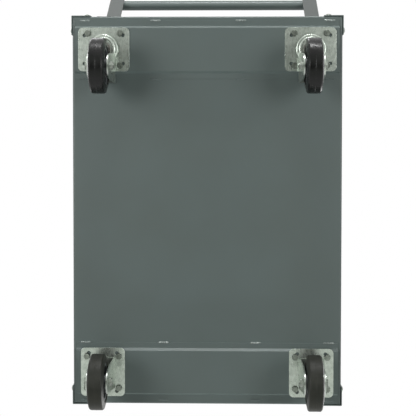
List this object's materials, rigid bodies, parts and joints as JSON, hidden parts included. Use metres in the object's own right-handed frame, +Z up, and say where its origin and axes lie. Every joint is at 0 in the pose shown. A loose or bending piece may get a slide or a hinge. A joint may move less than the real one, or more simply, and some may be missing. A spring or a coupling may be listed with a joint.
{
  "type": "service cart",
  "caption": "Open service cart with stacked lipped steel shelves on angle posts, a raised push handle at one end, and swivel and rigid plate casters under the bottom shelf.",
  "frame": {"origin": "on the floor, under the middle of the whole cart's plan, handle included", "axes": "+Z up; X across the width; Y along the length, with the push handle and the swivel casters towards -Y and the rigid casters towards +Y; left is -X"},
  "size_m": [0.6546, 1.0736, 0.969],
  "materials": {
    "grey_paint": "grey powder coat, satin",
    "zinc": "bright zinc plate, satin",
    "rubber": "black rubber, matte",
    "wheel_core": "dark painted casting, matte",
    "bushing": "natural plastic bearing, matte",
    "plug_plastic": "black moulded plastic, matte",
    "bearing_steel": "hardened steel, greased"
  },
  "bodies": {
    "frame": {"bottom_shelf": "grey_paint", "middle_shelf": "grey_paint", "top_shelf": "grey_paint", "post_handle_left": "grey_paint", "post_handle_right": "grey_paint", "post_far_left": "grey_paint", "post_far_right": "grey_paint", "channel_handle_end": "grey_paint", "channel_far_end": "grey_paint", "stitch_welds": "grey_paint", "handle_arm_left": "grey_paint", "handle_arm_right": "grey_paint", "handle_tube": "grey_paint", "handle_plugs": "plug_plastic", "handle_welds": "grey_paint", "shelf_bolts": "zinc", "shelf_nuts": "zinc", "tag_plate": "grey_paint", "tag_rivets": "grey_paint", "caster_bolts": "zinc", "caster_washers": "zinc", "caster_weld_nuts": "zinc", "swivel_plate_left": "zinc", "kingpin_left": "zinc", "kingpin_nuts": "zinc", "lower_race_left": "bearing_steel", "upper_balls_left": "bearing_steel", "lower_balls_left": "bearing_steel", "swivel_plate_right": "zinc", "kingpin_right": "zinc", "lower_race_right": "bearing_steel", "upper_balls_right": "bearing_steel", "lower_balls_right": "bearing_steel", "rigid_plate_left": "zinc", "rigid_fork_left": "zinc", "rigid_plate_right": "zinc", "rigid_fork_right": "zinc", "rigid_axles": "zinc", "rigid_axle_nuts": "zinc", "rigid_spacers": "zinc"},
    "swivel_left": {"swivel_fork_left": "zinc", "swivel_axle_left": "zinc", "swivel_axle_nut_left": "zinc", "swivel_spacer_left": "zinc"},
    "swivel_right": {"swivel_fork_right": "zinc", "swivel_axle_right": "zinc", "swivel_axle_nut_right": "zinc", "swivel_spacer_right": "zinc"},
    "wheel_handle_left": {"wheel_core_handle_left": "wheel_core", "tyre_handle_left": "rubber", "bushing_handle_left": "bushing"},
    "wheel_handle_right": {"wheel_core_handle_right": "wheel_core", "tyre_handle_right": "rubber", "bushing_handle_right": "bushing"},
    "wheel_far_left": {"wheel_core_far_left": "wheel_core", "tyre_far_left": "rubber", "bushing_far_left": "bushing"},
    "wheel_far_right": {"wheel_core_far_right": "wheel_core", "tyre_far_right": "rubber", "bushing_far_right": "bushing"}
  },
  "joints": [
    {"name": "swivel_left_turn", "type": "hinge", "parent": "frame", "child": "swivel_left", "pos_m": [-0.244, -0.31648, 0.15], "axis": [0, 0, 1], "continuous": true},
    {"name": "swivel_right_turn", "type": "hinge", "parent": "frame", "child": "swivel_right", "pos_m": [0.244, -0.31648, 0.15], "axis": [0, 0, 1], "continuous": true},
    {"name": "wheel_handle_left_roll", "type": "hinge", "parent": "swivel_left", "child": "wheel_handle_left", "pos_m": [-0.244, -0.27248, 0.0635], "axis": [1, 0, 0], "continuous": true},
    {"name": "wheel_handle_right_roll", "type": "hinge", "parent": "swivel_right", "child": "wheel_handle_right", "pos_m": [0.244, -0.27248, 0.0635], "axis": [1, 0, 0], "continuous": true},
    {"name": "wheel_far_left_roll", "type": "hinge", "parent": "frame", "child": "wheel_far_left", "pos_m": [-0.248, 0.45052, 0.0635], "axis": [1, 0, 0], "continuous": true},
    {"name": "wheel_far_right_roll", "type": "hinge", "parent": "frame", "child": "wheel_far_right", "pos_m": [0.248, 0.45052, 0.0635], "axis": [1, 0, 0], "continuous": true}
  ]
}
